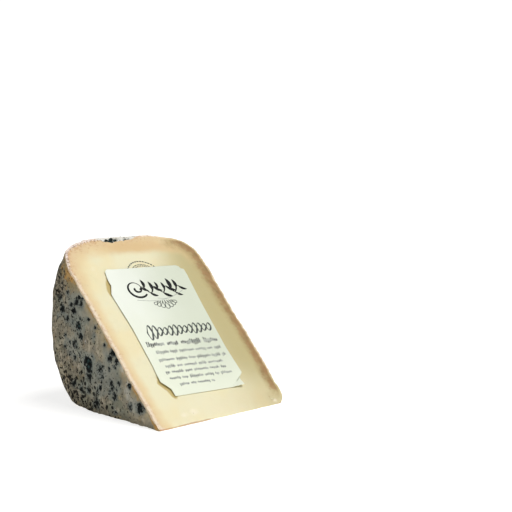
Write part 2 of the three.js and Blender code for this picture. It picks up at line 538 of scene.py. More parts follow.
@dataclass(frozen=True)
class RindFinish:
    """Natural rind, washed and left to mould: dry, taupe grey, blotched with blue-black colonies.

    It gives the eye a matt crust with a fine grain, ragged dark clumps with blue-grey haloes,
    scattered black specks, and orange-brown patches where the rind thins beside the upper cut.

    Attributes:
        taupe: the crust between the moulds, darker than the rind's own whitish grey: painted shade.
        layers: the colours laid over it, lowest first.
        dark_mould: which of the layers sinks into the crust, counted from the last one.
    """

    # painted shade: the taupe is darker than the rind's own whitish grey, as the flanks look in shade
    taupe: str = "#968e7c"
    layers: tuple[Layer, ...] = (
        # colour, field, size, start, full, strength, detail, shift, ragged, pattern
        Layer("#aaa18a", "", 16, 0.47, 0.6, 0.9, 3, 31),
        Layer("#817b69", "", 13, 0.46, 0.62, 0.8, 4, 11),
        Layer("#888a78", "", 19, 0.48, 0.6, 0.7, 3, 57),
        Layer("#a08a70", "", 11, 0.55, 0.68, 0.6, 4, 73),
        Layer("#6f6959", "", 3.6, 0.52, 0.68, 0.6, 5, 47),
        Layer("#c3b8a0", "", 4.6, 0.53, 0.66, 0.65, 5, 12),
        Layer("#b8aa8b", "beside", 5, 0.2, 1, 0.7, 4, 38, 1.2),
        Layer("#565040", "foot", 6, 0, 1, 0.6, 4, 22, 0.8),
        Layer("#c4c0b2", "pale", 5, 0.1, 0.8, 0.8, 5, 81, 1.4),
        Layer("#edeae1", "bloom", 9, 0.35, 0.75, 0.95, 7, 0, 2.4),
        Layer("#a08d62", "thin_rind", 6, 0.1, 0.7, 0.7, 6, 62, 2.6),
        Layer("#bd9050", "thin_rind", 4, 0.3, 1, 0.85, 6, 19, 3),
        Layer("#8a9088", "smoke", 3.4, 0.5, 1.3, 0.6, 5, 33, 1.6),
        Layer("#727873", "mould", 3, 0, 0.45, 0.75, 6, 5, 1.2),
        Layer("#3a403d", "mould", 1.9, 0.3, 0.5, 0.85, 6, 15, 2),
        Layer("#4b4636", "speckle", 3, 0.95, 1.4, 0.45, 6, 55, 4.5),
        Layer("#110f09", "speckle", 1.7, 1.16, 1.32, 0.97, 4, 85, 4.6),
        Layer("#100f0a", "speckle", 3, 0, 0.07, 0.95, 3, 27, 1.1, Pattern.SPOTS),
        Layer("#0a0e0d", "mould", 1.9, 0.44, 0.6, 0.96, 5, 15, 2),
        Layer("#3c5453", "mould", 2.2, 0.85, 1.15, 0.6, 3, 44, 1.6),
        # cut_lip: a pale line on the rind along the upper cut, its scraped edge with a painted highlight
        Layer("#e9d3b2", "cut_lip", 2, 0.2, 0.7, 0.9, 4, 90, 1.2),
    )
    dark_mould: int = -3

    def material(self) -> Material:
        """Builds the material, with a crust of 1.8 mm grains that the dark mould eats into.

        Returns:
            The material.
        """
        recipe = Recipe("Natural cheese rind, mould-ripened")
        colour, masks = recipe.lay(self.taupe, self.layers)
        inputs = {"Vector": recipe.place, "Scale": 1 / 1.8, "Detail": 6.0, "Roughness": 0.65}
        inputs = {0: masks[self.dark_mould], 1: -0.35, 2: recipe.add("TexNoise", inputs)}
        height = recipe.add("Math", inputs, operation="MULTIPLY_ADD")
        bump = recipe.add("Bump", {"Strength": 0.6, "Distance": 0.4 * MM, "Height": height})
        return recipe.finish(colour, Roughness=0.85, IOR=1.4, Specular_IOR_Level=0.1, Normal=bump)


@dataclass(frozen=True)
class PaperFinish:
    """Uncoated label paper: matt, cool white, with a faint fibre, greyed by painted shade towards the right.
    """

    white: str = "#f1f5e9"
    layers: tuple[Layer, ...] = (
        Layer("#ebf0da", "low", 22, 0, 1, 0.9, 4, 0, 0.8),
        # painted shade: the paper greyer towards the right and up the slope, where less light reaches it
        Layer("#d9dfcb", "painted_light", 30, 0.1, 1.1, 1, 2, 0, 0.5),
        # painted shade along the crease of the folded corner
        Layer("#b3b79d", "crease", 3, 0.2, 0.9, 0.8, 3, 0, 0.3),
    )

    def material(self) -> Material:
        """Builds the material, its fibre drawn 0.6 mm apart, coarser than real so that it shows.

        Returns:
            The material.
        """
        recipe = Recipe("Uncoated label paper")
        colour, _ = recipe.lay(self.white, self.layers)
        fibre = recipe.add("TexNoise", {"Vector": recipe.place, "Scale": 1 / 0.6, "Detail": 5.0})
        bump = recipe.add("Bump", {"Strength": 0.3, "Distance": 0.05 * MM, "Height": fibre})
        return recipe.finish(colour, Roughness=0.78, IOR=1.5, Normal=bump)


@dataclass(frozen=True)
class InkFinish:
    """Printing ink that has sunk into paper or cheese: matt, a little uneven in depth.

    Attributes:
        name: the ink, for the material's name.
        colour: where it is full.
        worn: where it is thin.
    """

    name: str
    colour: str
    worn: str

    def material(self) -> Material:
        """Builds the material.

        Returns:
            The material.
        """
        recipe = Recipe(f"{self.name} printing ink")
        colour, _ = recipe.lay(self.colour, (Layer(self.worn, "", 1.6, 0.5, 0.68, 0.8, 4),))
        return recipe.finish(colour, Roughness=0.7, IOR=1.5, Specular_IOR_Level=0.2)


@dataclass(frozen=True)
class FloorFinish:
    """Matt translucent studio sheet over a light box: it stays pale where the object shades it."""

    white: str = "#c0bfbc"
    glow: float = 0.78

    def material(self) -> Material:
        """Builds the material.

        Returns:
            The material.
        """
        recipe = Recipe("Matt studio paper")
        colour, _ = recipe.lay(self.white, (Layer("#bcbbb8", "", 300, 0.4, 0.7),))
        light = {"Emission_Color": (1, 1, 1, 1), "Emission_Strength": self.glow}
        return recipe.finish(colour, Roughness=0.9, **light)


# ---------------------------------------------------------------- the wheel that was cut


@dataclass(frozen=True)
class WheelForm:
    """The cut wheel's even form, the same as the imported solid's.

    Seen from the flank, the rim is a superellipse quarter on each side of its centre. From flank to
    rim the half width falls away as another superellipse, round at the rim and flat on the flank.

    Attributes:
        half_width: middle of the wedge to a flank, this far behind the tip edge.
        flank_lean: how much further out each flank stands for each mm further back.
        cut_angle: angle between the two knife cuts.
        rim_y, rim_z, rim_depth, rim_height: centre of the rim's section, and its reach back and up.
        rim_power: its roundness, 2 being an ellipse.
        shoulder_rim_power, shoulder_flank_power: the shoulder's roundness at either end.
        left_tip_radius, right_tip_radius: rounding of the tip edge's two ends, in plan.
    """

    half_width: float = 50.0
    flank_lean: float = 0.0385
    cut_angle: float = CUT_ANGLE
    rim_y: float = 44.0
    rim_z: float = 47.5
    rim_depth: float = 72.5
    rim_height: float = 71.5
    rim_power: float = 2.1
    shoulder_rim_power: float = 2.6
    shoulder_flank_power: float = 9.75
    left_tip_radius: float = 2.0
    right_tip_radius: float = 9.5

    def rim_share(self, y: Array, z: Array) -> Array:
        """How far places are from the middle of the rim's section, 1 on the rim.

        Args:
            y, z: distances back, and heights.

        Returns:
            The shares: the superellipse sum of back and up, to the power 1/rim_power.
        """
        back = np.maximum(0, y - self.rim_y) / self.rim_depth
        rise = np.abs(z - self.rim_z) / self.rim_height
        return (back**self.rim_power + rise**self.rim_power) ** (1 / self.rim_power)

    def width_at(self, y: Array, z: Array) -> Array:
        """Half the wheel's width at places back and up.

        Args:
            y, z: distances back, and heights.

        Returns:
            Half widths: the leaning flank times (1 - share^flank power)^(1/rim power).
        """
        share = np.minimum(1, self.rim_share(y, z))
        flank = self.half_width + self.flank_lean * (y - self.half_width)
        return flank * (1 - share**self.shoulder_flank_power) ** (1 / self.shoulder_rim_power)

    def reach(self, angle: Array) -> Array:
        """Distance from the tip edge to the rim, found by halving.

        Args:
            angle: angles above the lower cut.

        Returns:
            Distances, one for each angle.
        """
        near = np.full_like(angle, self.rim_z)
        far = np.full_like(angle, 2 * (self.rim_y + self.rim_depth))
        for _ in range(50):
            middle = (near + far) / 2
            inside = self.rim_share(middle * np.cos(angle), middle * np.sin(angle)) < 1
            near = np.where(inside, middle, near)
            far = np.where(inside, far, middle)
        return near

    def profile(self, side: int, angle: Array, share: Array) -> tuple[Array, Array]:
        """A flank's profiles in the planes at these angles, from tip edge to the middle of the rim.

        The distance from the tip edge is reach * (1 - (1 - share)^rim power), so that points lie closer
        together where the width falls away fastest. A quarter circle rounds the tip's end.

        Args:
            side: -1 for the left flank, 1 for the right one.
            angle: angles above the lower cut.
            share: 0 at the tip edge, 1 at the middle of the rim.

        Returns:
            Places across and distances from the tip edge, each shaped (angles, shares).
        """
        radius = self.reach(angle)[:, None] * (1 - (1 - share) ** self.shoulder_rim_power)
        width = self.width_at(radius * np.cos(angle)[:, None], radius * np.sin(angle)[:, None])
        width = np.where(share < 1, width, 0)
        tip = self.left_tip_radius if side < 0 else self.right_tip_radius
        short = np.maximum(0, tip - radius)
        return side * (width - tip + np.sqrt(tip**2 - short**2)), radius

    def shares(self, count: int, tip_count: int, steps: int = 6000) -> Array:
        """Shares of the profile: a few round the tip's end, the rest at equal steps of its length.

        Args:
            count, tip_count: how many in all, and on the rounded end of the tip edge.
            steps: how finely the length is measured.

        Returns:
            The shares from 0 to 1.
        """
        fine = np.linspace(0, 1, steps + 1)
        across, radius = self.profile(1, np.array([self.cut_angle / 2]), fine)
        length = np.concatenate([[0], np.cumsum(np.hypot(np.diff(across[0]), np.diff(radius[0])))])
        corner = self.right_tip_radius * np.pi / 2
        round_tip = np.linspace(0, corner, tip_count, endpoint=False)
        rest = np.linspace(corner, length[-1], count - tip_count)
        return np.interp(np.concatenate([round_tip, rest]), length, fine)


@dataclass(frozen=True)
class RindRelief:
    """The uneven rind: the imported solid's waves and dents, a finer crust, and sunken mould.

    Attributes:
        wave_count, longest, shortest, wave_height: the plane waves.
        dent_count, smallest, largest, dent_depth: the dents.
        fade: distance from the tip edge over which the rind grows uneven.
        crust, grain: the coarse and the fine crust.
        mould_depth: how far the middle of a colony lies below the crust.
    """

    wave_count: int = 9
    longest: float = 44.0
    shortest: float = 12.0
    wave_height: float = 0.19
    dent_count: int = 36
    smallest: float = 5.0
    largest: float = 9.0
    dent_depth: float = 0.7
    fade: float = 14.0
    crust: Noise = Noise(0.42, 6.0, 2, 11)
    grain: Noise = Noise(0.16, 2.2, 2, 23)
    mould_depth: float = 0.45

    def waves(self, points: Array) -> Array:
        """Sum of plane waves in directions spread over the sphere, longer ones higher.

        Args:
            points: places, shaped (..., 3).

        Returns:
            Heights, one for each place.
        """
        order = np.arange(self.wave_count)
        length = self.longest * (self.shortest / self.longest) ** (order / (self.wave_count - 1))
        rise = 1 - (2 * order + 1) / self.wave_count
        turn = 2 * np.pi * GOLDEN_SHARE * order
        level = np.sqrt(1 - rise**2)
        direction = np.stack([level * np.cos(turn), level * np.sin(turn), rise])
        phase = 2 * np.pi * (points @ direction) / length + turn
        return self.wave_height * (np.sin(phase) * np.sqrt(length / self.longest)).sum(axis=-1)

    def dents(self, points: Array, form: WheelForm) -> Array:
        """The dents, which lie on the left flank, the rim and the right flank in turn.

        Args:
            points: places, shaped (..., 3).
            form: the wheel they are pressed into.

        Returns:
            Depths: for each dent depth * (1 - (distance/size)^2)^2.
        """
        order = np.arange(self.dent_count)
        share = (order + 0.5) / self.dent_count
        angle = form.cut_angle * ((order * GOLDEN_SHARE) % 1)
        side = order % 3 - 1
        radius = form.reach(angle) * np.where(side == 0, 1, np.sqrt(share))
        y, z = radius * np.cos(angle), radius * np.sin(angle)
        x = np.where(side == 0, form.half_width * (share - 0.5), side * form.width_at(y, z))
        size = self.smallest + (self.largest - self.smallest) * ((order * GOLDEN_SHARE * 2) % 1)
        depth = np.zeros(points.shape[:-1])
        for place, reach in zip(np.stack([x, y, z], axis=-1), size, strict=True):
            away = np.minimum(1, np.linalg.norm(points - place, axis=-1) / reach)
            depth += self.dent_depth * (1 - away**2) ** 2
        return depth

    def height(self, points: Array, form: WheelForm, mould: Array) -> Array:
        """How far the rind stands out from the even form.

        Args:
            points: places on the even form, shaped (..., 3).
            form: the wheel.
            mould: how much mould grows at each place.

        Returns:
            Heights: waves less dents, plus crust and grain, less the sunken mould.
        """
        even = self.waves(points) - self.dents(points, form)
        near = smooth_step(0, self.fade, np.hypot(points[..., 1], points[..., 2]))
        return near * (even + self.crust.at(points) + self.grain.at(points) - self.mould_depth * mould)


@dataclass(frozen=True)
class MouldGrowth:
    """Colonies of blue mould on the rind: the large ones of the left flank, and others at random.

    Attributes:
        left_flank: distance back, height, dark radius and strength of each large colony.
        crest: place across, distance from the tip edge, radius and strength of each on the crest.
        left_side: places across between which the left flank's own colonies fade in.
        cell, smallest, largest: spacing of the random ones, and their radii.
        share, crowding: how many cells hold one on average, and how that varies.
        drift, nudge, fray, haze: what makes the random colonies, the large ones, those of the crest
            and the smoke ragged.
    """

    left_flank: Table = (
        (73, 62, 1.9, 1), (71, 64.5, 1.1, 1), (67.5, 64, 1.2, 0.8), (75.5, 56.5, 1.5, 1),
        (78, 60, 1.3, 0.8), (68.5, 61, 1.4, 0.9), (88, 56.5, 2, 0.95), (82.5, 51.5, 1.6, 0.95),
        (93, 51, 1, 0.8), (69.5, 52.5, 1.2, 0.7), (62.5, 53, 1.1, 1), (76.5, 50.5, 1.8, 0.5),
        (71, 48, 2.1, 1.1), (69.5, 42.5, 1.5, 1.05), (56, 49, 1.3, 0.7), (56, 44.5, 1.3, 0.5),
        (56, 41, 1, 0.5), (75.5, 37, 2.3, 0.7), (80.5, 37.5, 1.5, 0.6), (86, 35, 1.2, 0.9),
        (47.5, 40, 1.1, 0.85), (81.5, 30.5, 1.5, 0.6), (76.5, 29.5, 1.2, 0.8), (71, 31, 1.2, 0.6),
        (40, 36.5, 2, 1), (43, 33, 1.8, 0.95), (36.5, 32, 1.9, 0.75), (38.5, 29, 1.4, 0.7),
        (58, 32, 1.1, 0.85), (62.5, 28.5, 2.4, 1.2), (62.5, 25, 2.5, 1.2), (62, 20.5, 1.8, 1),
        (51.5, 26, 2.8, 0.55), (43.5, 27, 1.3, 0.85), (50, 22, 2.8, 0.5), (42, 19, 1.6, 0.8),
        (34.5, 20.5, 1.2, 0.7), (40.5, 16.5, 1.5, 0.7), (37, 16.5, 1, 0.8), (43, 14.5, 1.2, 0.8),
        (39, 12, 1.8, 0.8), (25.5, 20.5, 1.3, 1.2), (24.5, 9.5, 1.7, 0.85), (15.5, 10, 2.8, 0.95),
        (51.5, 15.5, 1.2, 0.8), (54, 12, 1.5, 0.65), (70, 12, 1.4, 1), (78.5, 13.5, 1.7, 0.8),
        (63.5, 12.5, 1.6, 0.8), (56, 5.5, 2.6, 0.8), (38, 3.5, 1, 0.8), (81.5, 66.5, 1.2, 0.8),
        (90.5, 63, 1.5, 0.65), (85.5, 41.5, 1.1, 0.65),
    )  # fmt: skip
    crest: Table = (
        (-18.9, 134.4, 1.5, 1.2), (-14.8, 133.8, 2.3, 1.8), (-12.3, 133.0, 2.4, 1.8),
        (-11.2, 135.2, 2.0, 1.6), (-8.6, 134.2, 1.7, 1.5), (-5.0, 134.2, 1.3, 0.6),
        (-1.0, 134.0, 1.4, 0.6), (3.0, 134.2, 1.2, 0.5),
    )  # fmt: skip
    left_side: tuple[float, float] = (-30, -40)
    cell: float = 8.0
    smallest: float = 1.8
    largest: float = 6.5
    share: float = 0.5
    crowding: Noise = Noise(1.2, 26.0, 2, 90)
    drift: Noise = Noise(2.2, 4.5, 3, 40)
    nudge: Noise = Noise(0.8, 3.0, 3, 41)
    fray: Noise = Noise(0.7, 1.6, 2, 43)
    haze: Noise = Noise(1.5, 6.0, 3, 42)

    def amount(self, points: Array) -> Array:
        """How much mould grows at each place: 1 in the middle of a colony, 0 outside.

        Each colony adds strength * (1 - distance/radius); the largest counts, and a large one is dark
        out to half its radius. The places are first moved by noise, so that the colonies are ragged.

        Args:
            points: places, shaped (..., 3).

        Returns:
            Amounts, one for each place.
        """
        moved, nudged, frayed = (noise.move(points) for noise in (self.drift, self.nudge, self.fray))
        amount = np.zeros(points.shape[:-1])
        on_left = smooth_step(*self.left_side, points[..., 0])
        for back, up, radius, strength in self.left_flank:
            away = np.hypot(nudged[..., 1] - back, nudged[..., 2] - up) / (2 * radius)
            amount = np.maximum(amount, on_left * strength * (1 - away))
        for across, reach, radius, strength in self.crest:
            away = np.linalg.norm(frayed - in_space(np.array([across, reach])), axis=-1) / radius
            amount = np.maximum(amount, strength * (1 - away))
        corner = np.floor(moved / self.cell)
        for step in np.ndindex(3, 3, 3):
            cell = corner + step - 1
            within = np.stack([lattice_hash(cell, PLACE_SEED + i) for i in range(3)], axis=-1)
            middle = (cell + within) * self.cell
            radius = self.smallest + (self.largest - self.smallest) * lattice_hash(cell, SIZE_SEED) ** 1.5
            away = np.linalg.norm(moved - middle, axis=-1) / radius
            there = lattice_hash(cell, CHANCE_SEED) < self.share + self.crowding.at(middle)
            there = there * (1 - on_left)
            amount = np.maximum(amount, there * (1 - away))
        return amount

    def smoke(self, points: Array) -> Array:
        """How grey the left flank is with thin young mould round its large colonies.

        Args:
            points: places, shaped (n, 3).

        Returns:
            Amounts: for each colony strength * exp(-(distance / (2 * radius + 2 mm))^2).
        """
        nudged = self.haze.move(points)
        total = np.zeros(len(points))
        for back, up, radius, strength in self.left_flank:
            total = total + strength * hill(np.hypot(nudged[:, 1] - back, nudged[:, 2] - up), 2 * radius + 2)
        return total * smooth_step(*self.left_side, points[:, 0])


# ---------------------------------------------------------------- the cheese


def nearest_on_line(points: Array, line: Array, batch: int = 1500) -> tuple[Array, Array]:
    """Distance from flat points to an open line of straight pieces, and where it is nearest.

    Args:
        points: places in a plane, shaped (n, 2).
        line: the line's corners, shaped (m, 2).
        batch: how many points are worked out at a time.

    Returns:
        Distances, and places along the line as corner numbers with a fraction.
    """
    start, step = line[:-1], np.diff(line, axis=0)
    square = np.maximum((step**2).sum(axis=1), 1e-12)
    distance, along = np.empty(len(points)), np.empty(len(points))
    for part in np.array_split(np.arange(len(points)), 1 + len(points) // batch):
        offset = points[part, None, :] - start
        share = np.clip((offset * step).sum(axis=2) / square, 0, 1)
        gap = np.linalg.norm(offset - share[..., None] * step, axis=2)
        best = gap.argmin(axis=1)
        row = np.arange(len(part))
        distance[part] = gap[row, best]
        along[part] = best + share[row, best]
    return distance, along


def round_over(distance: Array, radius: Array) -> tuple[Array, Array]:
    """Rounds an edge to a quarter circle, half of which is taken from each of its two surfaces.

    A point at this distance from the edge belongs on the circle at the angle
    a = 45 degrees * (1 - distance/radius), so it ends up radius * (1 - sin a) away from the edge and
    radius * (1 - cos a) below its own surface.

    Args:
        distance: from the edge, within the surface.
        radius: of the rounding.

    Returns:
        How far each point slides away from the edge, and how far it sinks.
    """
    turn = np.pi / 4 * (1 - np.minimum(distance / np.maximum(radius, 1e-6), 1))
    within = distance < radius
    slide = np.where(within, radius * (1 - np.sin(turn)) - distance, 0)
    return slide, np.where(within, radius * (1 - np.cos(turn)), 0)


@dataclass(frozen=True)
class CheeseBody:
    """The wedge itself: rind on flanks and rim, and two cut faces that meet at the tip edge.

    Attributes:
        form, relief, mould: the even wheel, its uneven rind and the mould on that.
        profile_count, tip_count, turn_count, face_columns: how fine the mesh of rind and cuts is.
        edge_radius, edge_wear: mean rounding of the cut edges, and how it varies along them.
        base_sag: how much rounder the edge is where the rim stands on the table.
        base_wrap, wrap: how far the rind wraps round the lower edge, and how ragged its ends are.
        crest_left, crest_right: the stretch of the crest where the rind has rolled over the cut.
        crest_radius, crest_depth: rounding there, and how far down the cut the rind reaches.
        knife: the waves in the upper cut.
        crumble, crumbs: how far the paste is broken up beside the rind, and how finely.
        tip_wear, tip: how far the tip edge is worn back at most, and how that varies.
        patchy, crowded: how the specks of the rind vary, and where more of them are: back, up, size.
        thin_places: where the rind is thin beside the upper cut: distance from the tip edge, width.
        pale_spots: whitish places on the left flank: back, up, size.
        sheen_spots: pale spots of painted sheen on the upper cut: across, up, size.
        crest_zone, right_zone: where the paste's colours change towards the crest and the right.
        tan_width, lip_width, crust_width, brown_width: of the paste's bands beside the rind.
        shadow_width, shadow_spots: of the painted shadow beside the label's left edge, and where it widens:
            up, size, more.
    """

    form: WheelForm = WheelForm()
    relief: RindRelief = RindRelief()
    mould: MouldGrowth = MouldGrowth()
    profile_count: int = 220
    tip_count: int = 8
    turn_count: int = 104
    face_columns: int = 120
    edge_radius: float = 0.65
    edge_wear: Noise = Noise(0.4, 7.0, 3, 5)
    base_sag: float = 4.0
    base_wrap: float = 1.6
    wrap: Noise = Noise(1, 2.2, 3, 17)
    crest_left: float = -19.5
    crest_right: float = 5.5
    crest_radius: float = 1.2
    crest_depth: float = 4.5
    knife: Noise = Noise(0.12, 26.0, 3, 9)
    crumble: float = 0.26
    crumbs: Noise = Noise(1, 1.5, 2, 300)
    tip_wear: float = 0.55
    tip: Noise = Noise(0.4, 9.0, 4, 350)
    patchy: Noise = Noise(0.28, 22.0, 2, 600)
    thin_places: Table = ((4, 5), (28, 8), (61, 8), (84, 6), (112, 16))
    crowded: Table = ((90, 82, 14, 0.36), (74, 52, 14, 0.12), (62, 5, 16, 0.42), (88, 30, 12, -0.1))
    pale_spots: Table = ((32, 29.5, 5), (20, 9.5, 7), (50, 24, 7), (27, 16, 6), (25, 23, 5), (44, 43, 5))
    sheen_spots: Table = ((-28, 6.6, 3.4), (-20.6, 7, 4.5), (39, 3, 2.8))
    crest_zone: tuple[float, float] = (92, 128)
    right_zone: tuple[float, float] = (0, 45)
    tan_width: float = 9.6
    lip_width: float = 3.0
    crust_width: float = 2.6
    brown_width: float = 12.5
    shadow_width: float = 0.9
    shadow_spots: Table = ((98, 5, 3.4), (24, 7, 3.2))

    def cut_normal(self, upper: bool) -> Array:
        """Direction in which a cut faces."""
        turn = self.form.cut_angle
        return np.array([0, -math.sin(turn), math.cos(turn)]) if upper else np.array([0, 0, -1.0])

    def profiles(self, angle: Array, shares: Array) -> tuple[Array, Array, Array]:
        """Whole profiles, left tip to rim to right tip, with the rind's relief laid on them.

        Each point moves square to its profile, within its own plane, by the height of the rind.

        Args:
            angle: angles above the lower cut.
            shares: shares of one flank's profile.

        Returns:
            Flat places, the direction in which the rind faces at each, and the mould there.
        """
        left, right = (np.stack(self.form.profile(side, angle, shares), axis=-1) for side in (-1, 1))
        flat = np.concatenate([left, right[:, -2::-1]], axis=1)
        along = np.gradient(flat, axis=1)
        facing = np.stack([-along[..., 1], along[..., 0]], axis=-1)
        facing /= np.linalg.norm(facing, axis=-1, keepdims=True)
        space = in_space(flat, angle[:, None])
        mould = self.mould.amount(space)
        return flat + facing * self.relief.height(space, self.form, mould)[..., None], facing, mould

    def crest_share(self, flat: Array) -> Array:
        """How fully the rind has rolled over the upper cut, fading at the ends of its stretch.

        Args:
            flat: flat places on the cut, shaped (n, 2).

        Returns:
            Shares from 0 to 1.
        """
        fade = smooth_step(self.crest_left - 5, self.crest_left + 4, flat[:, 0])
        fade = fade * smooth_step(self.crest_right + 7, self.crest_right - 7, flat[:, 0])
        return fade * smooth_step(120, 130, flat[:, 1])

    def edge_rounding(self, outline: Array, upper: bool) -> Array:
        """Rounding radius along a cut's outline, fading to nothing at the tip edge.

        Args:
            outline: the outline's flat points.
            upper: whether this is the upper cut.

        Returns:
            Radii, one for each point.
        """
        space = np.column_stack([outline, np.full(len(outline), 50.0 * upper)])
        radius = np.maximum(0.15, self.edge_radius + self.edge_wear.at(space))
        if upper:
            radius = radius + (self.crest_radius - radius) * self.crest_share(outline)
        else:
            radius = radius + self.base_sag * smooth_step(50, 100, outline[:, 1])
        return radius * smooth_step(0, 8, outline[:, 1])

    def cut_height(self, flat: Array) -> Array:
        """Height of the knife's waves at flat places on the upper cut."""
        space = np.concatenate([flat, np.zeros((*flat.shape[:-1], 1))], axis=-1)
        return self.knife.at(space)

    def cut_face(self, outline: Array, facing: Array, upper: bool) -> tuple[Array, Array, Array]:
        """A cut face drawn straight across from flank to flank, its edge rounded over.

        Args:
            outline: the flat outline from left tip to rim to right tip.
            facing: the direction in which the rind faces at each of its points.
            upper: whether this is the upper cut, which has the knife's waves.

        Returns:
            Places in space, distances from the rind, and the flat places, row by row.
        """
        left, right = outline[: self.profile_count, None], outline[::-1][: self.profile_count, None]
        share = clustered(self.face_columns)[:, None]
        flat = (left * (1 - share) + right * share).reshape(-1, 2)
        distance, along = nearest_on_line(flat, outline)
        steps = np.arange(len(outline))
        outwards = np.stack([np.interp(along, steps, facing[:, i]) for i in range(2)], axis=-1)
        outwards /= np.linalg.norm(outwards, axis=-1, keepdims=True)
        slide, sink = round_over(distance, np.interp(along, steps, self.edge_rounding(outline, upper)))
        if upper:
            sink -= self.cut_height(flat) * smooth_step(0, 6, distance) * smooth_step(0, 8, flat[:, 1])
        moved = flat - outwards * slide[:, None]
        space = in_space(moved, self.form.cut_angle, -sink) if upper else in_space(moved, 0.0, sink)
        return space, distance, flat

    def rind(self, angle: Array, flat: Array, facing: Array) -> tuple[Array, Array]:
        """The rind's points, rounded over where it meets the two cuts.

        Args:
            angle: angles of the rows above the lower cut.
            flat: uneven flat places, shaped (angles, points, 2).
            facing: the direction in which the rind faces at each.

        Returns:
            Places in space, shaped (angles, points, 3), and distances from the nearer cut.
        """
        above = flat[..., 1] * angle[:, None]
        below = flat[..., 1] * (self.form.cut_angle - angle[:, None])
        upper = below < above
        gap = np.minimum(above, below)
        rounding = [self.edge_rounding(flat[row], is_upper) for row, is_upper in ((0, False), (-1, True))]
        slide, sink = round_over(gap, np.where(upper, rounding[1], rounding[0]))
        edge_normal = np.where(upper[..., None], self.cut_normal(True), self.cut_normal(False))
        space = in_space(flat, angle[:, None]) - edge_normal * slide[..., None]
        return space - in_space(facing, angle[:, None]) * sink[..., None], gap

    def wear(self, points: Array, distance: Array) -> Array:
        """Crumbles the paste beside the rind and wears the tip edge back along its middle plane.

        Within four wear depths w of the tip edge, a point moves back by w * (1 - distance/4w)^2.

        Args:
            points: places, shaped (n, 3).
            distance: mm from the nearest cut edge.

        Returns:
            The moved places.
        """
        reach = np.hypot(points[:, 1], points[:, 2])
        crumbly = 1 + 0.4 * smooth_step(98, 118, reach) * smooth_step(-14, -26, points[:, 0])
        crumbly += 0.7 * smooth_step(30, 46, points[:, 0])
        near = self.crumble * crumbly * smooth_step(3.4, 0.3, distance) * smooth_step(1, 8, reach)
        points = self.crumbs.move(points, near[:, None])
        across = np.column_stack([points[:, 0], np.zeros((len(points), 2))])
        depth = self.tip_wear * (0.6 + self.tip.at(across))
        middle = np.array([0, math.cos(self.form.cut_angle / 2), math.sin(self.form.cut_angle / 2)])
        shift = depth * cone(reach, 4 * depth) ** 2
        return points + shift[:, None] * middle

    def build(self) -> None:
        """Builds the wedge as one closed skin and dresses it: slot 0 is paste, slot 1 is rind."""
        angle = self.form.cut_angle * clustered(self.turn_count)
        flat, facing, mould = self.profiles(angle, self.form.shares(self.profile_count, self.tip_count))
        skin = Skin()
        grid, gap = self.rind(angle, flat, facing)
        skin.add_grid(grid, 1, flip=True)
        gaps, moulds, crests = [gap.ravel()], [mould.ravel()], [np.zeros(gap.size)]
        for row, upper in ((0, False), (-1, True)):
            space, gap, where = self.cut_face(flat[row], facing[row], upper)
            ragged = (0.6 + 1.6 * upper) * self.wrap.at(space)
            rolled = upper * (gap < (self.crest_depth + ragged) * self.crest_share(where))
            wrapped = rolled if upper else gap < self.base_wrap + ragged
            skin.add_grid(space.reshape(self.profile_count, -1, 3), wrapped, flip=not upper)
            gaps.append(gap)
            moulds.append(self.mould.amount(space))
            crests.append(rolled)
        gap = np.concatenate(gaps)
        points = self.wear(np.concatenate(skin.points), gap)
        skin.points = [points]
        fields = self.paste_fields(points, gap) | self.rind_fields(points, np.concatenate(crests))
        fields["mould"] = np.concatenate(moulds)
        piece = skin.build("cheese_body", [PasteFinish().material(), RindFinish().material()], fields)
        dress(piece, "cheese_wedge")

    def paste_fields(self, points: Array, distance: Array) -> dict[str, Array]:
        """What the paste's colours follow, from 0 to 1 at each point.

        The tan band is 9.6 mm wide at the left, 7 mm at the right and twice that at the crest. The
        pinkish lip, the rind's paler edge brightened by a painted highlight, is 3 mm wide, narrower at the
        crest and on the right, with a crust at the upper left.
        The brown zone down the right, the paste's own browning deepened by painted shade, is 12 to 15 mm
        wide.

        Args:
            points: places, shaped (n, 3).
            distance: mm from the rind.

        Returns:
            The fields by name.
        """
        across, reach = points[:, 0], np.hypot(points[:, 1], points[:, 2])
        high = smooth_step(*self.crest_zone, reach)
        right = smooth_step(*self.right_zone, across)
        corner = right * smooth_step(26, 10, reach)
        band = self.tan_width - 2.6 * right + (9 + 2 * right) * high
        # the lip: the rind's paler edge, with a painted highlight along it
        lip = self.lip_width - 0.8 * high - 1.1 * right
        upper_left = smooth_step(98, 118, reach) * smooth_step(-11, -20, across)
        crust = self.crust_width + 1.2 * smooth_step(-42, -34, across)
        # the right's brown zone: the paste's browning by the rind, deepened by painted shade
        brown = smooth_step(self.brown_width + 2.5 * smooth_step(60, 105, reach), 2.5, distance)
        brown = brown * (0.35 + 0.65 * smooth_step(0.8, 2.8, distance))
        amber = high * smooth_step(-34, -4, across) * smooth_step(18, 10, distance) * (1 - 0.5 * right)
        amber = amber * (0.15 + 0.85 * smooth_step(1, 10, distance))
        low = 0.2 * smooth_step(22, 8, reach) * smooth_step(-24, 8, across)
        # painted shade across the right of the cut
        painted_right_shade = smooth_step(-12 + 12 * high, 42 + 6 * high, across)
